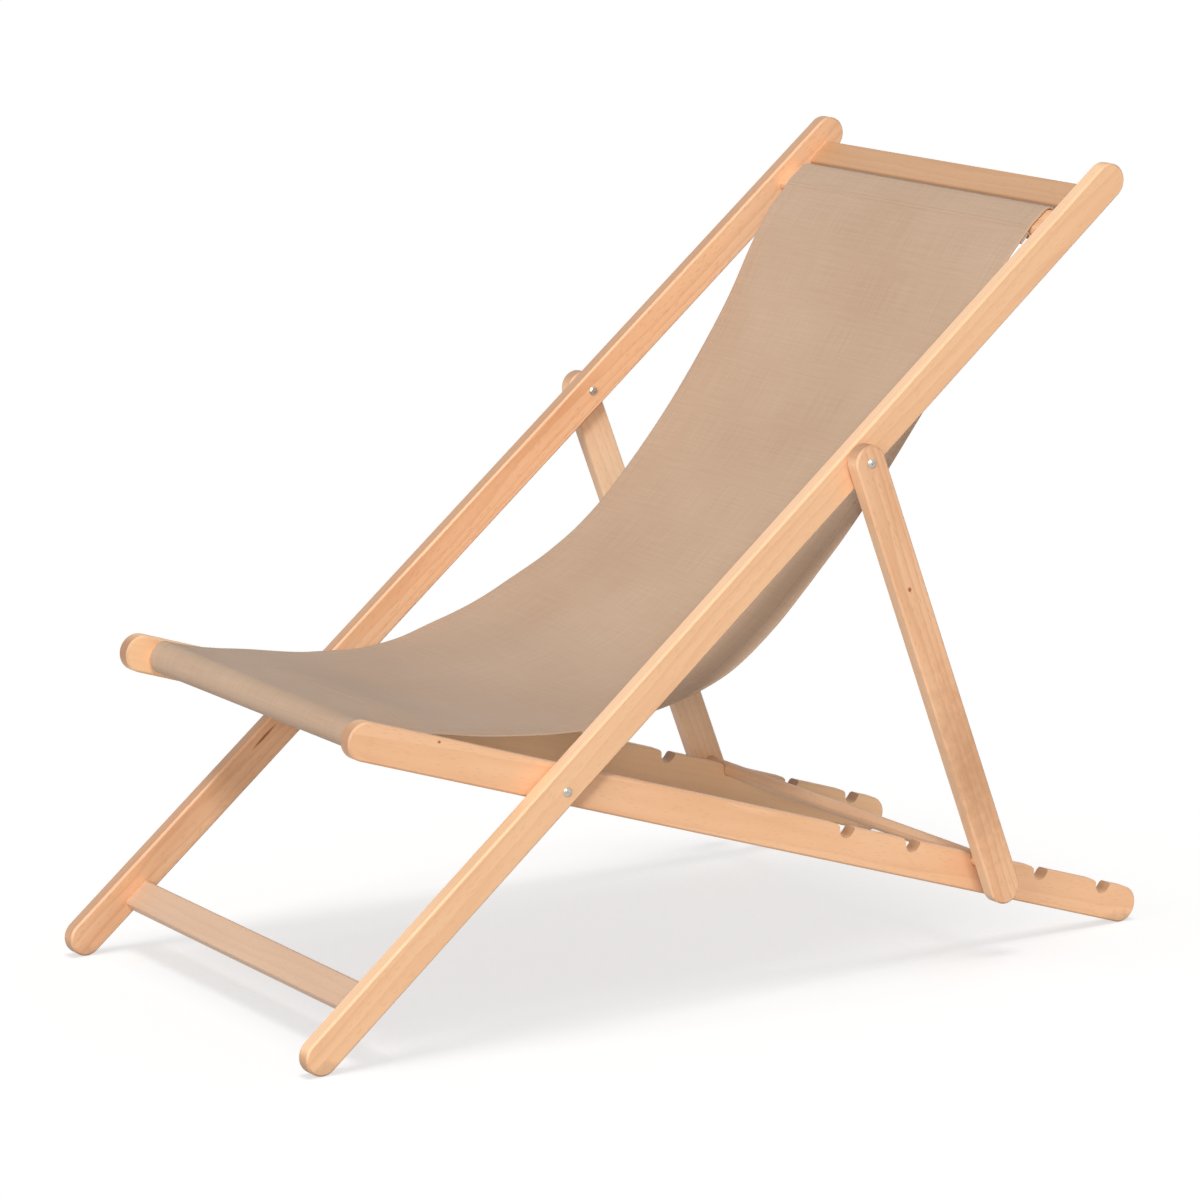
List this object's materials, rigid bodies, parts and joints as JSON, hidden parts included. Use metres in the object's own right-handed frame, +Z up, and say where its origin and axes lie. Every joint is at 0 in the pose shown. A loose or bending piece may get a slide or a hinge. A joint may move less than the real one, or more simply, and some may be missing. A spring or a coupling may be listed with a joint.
{
  "type": "deck chair",
  "caption": "Folding wooden deck chair: a cloth seat slung between the front bar and the back frame's slat, with a prop whose dowel drops into notches to set the recline.",
  "frame": {"origin": "on the floor, below the middle of the chair's outline seen from above", "axes": "+Z up, the sitter faces -Y, +X to the sitter's left"},
  "size_m": [0.5728, 1.0512, 0.8382],
  "materials": {
    "beech": "satin",
    "canvas": "matte",
    "steel": "satin"
  },
  "bodies": {
    "seat_frame": {"seat_rail_left": "beech", "seat_rail_right": "beech", "seat_front_bar": "beech", "sling_front_pocket": "canvas", "seat_pivot_bolt_left": "steel", "seat_pivot_bolt_right": "steel", "seat_pivot_sleeve_left": "steel", "seat_pivot_sleeve_right": "steel", "seat_pivot_washer_left": "steel", "seat_pivot_washer_right": "steel"},
    "back_frame": {"back_rail_left": "beech", "back_rail_right": "beech", "head_slat": "beech", "sling_slat": "beech", "foot_slat": "beech", "sling_panel": "canvas", "prop_pivot_bolt_left": "steel", "prop_pivot_bolt_right": "steel", "prop_pivot_sleeve_left": "steel", "prop_pivot_sleeve_right": "steel", "prop_pivot_washer_left": "steel", "prop_pivot_washer_right": "steel"},
    "prop_frame": {"prop_strut_left": "beech", "prop_strut_right": "beech", "prop_dowel": "beech"}
  },
  "joints": [
    {"name": "back_hinge", "type": "hinge", "parent": "seat_frame", "child": "back_frame", "pos_m": [0, -0.22288, 0.25024], "axis": [1, 0, 0], "range_deg": [0, 15]},
    {"name": "prop_hinge", "type": "hinge", "parent": "back_frame", "child": "prop_frame", "pos_m": [0, 0.13407, 0.55293], "axis": [1, 0, 0], "range_deg": [-4.5, 0]}
  ],
  "couplings": [
    {"joint": "prop_hinge", "follows": "back_hinge", "ratio": -0.3}
  ]
}
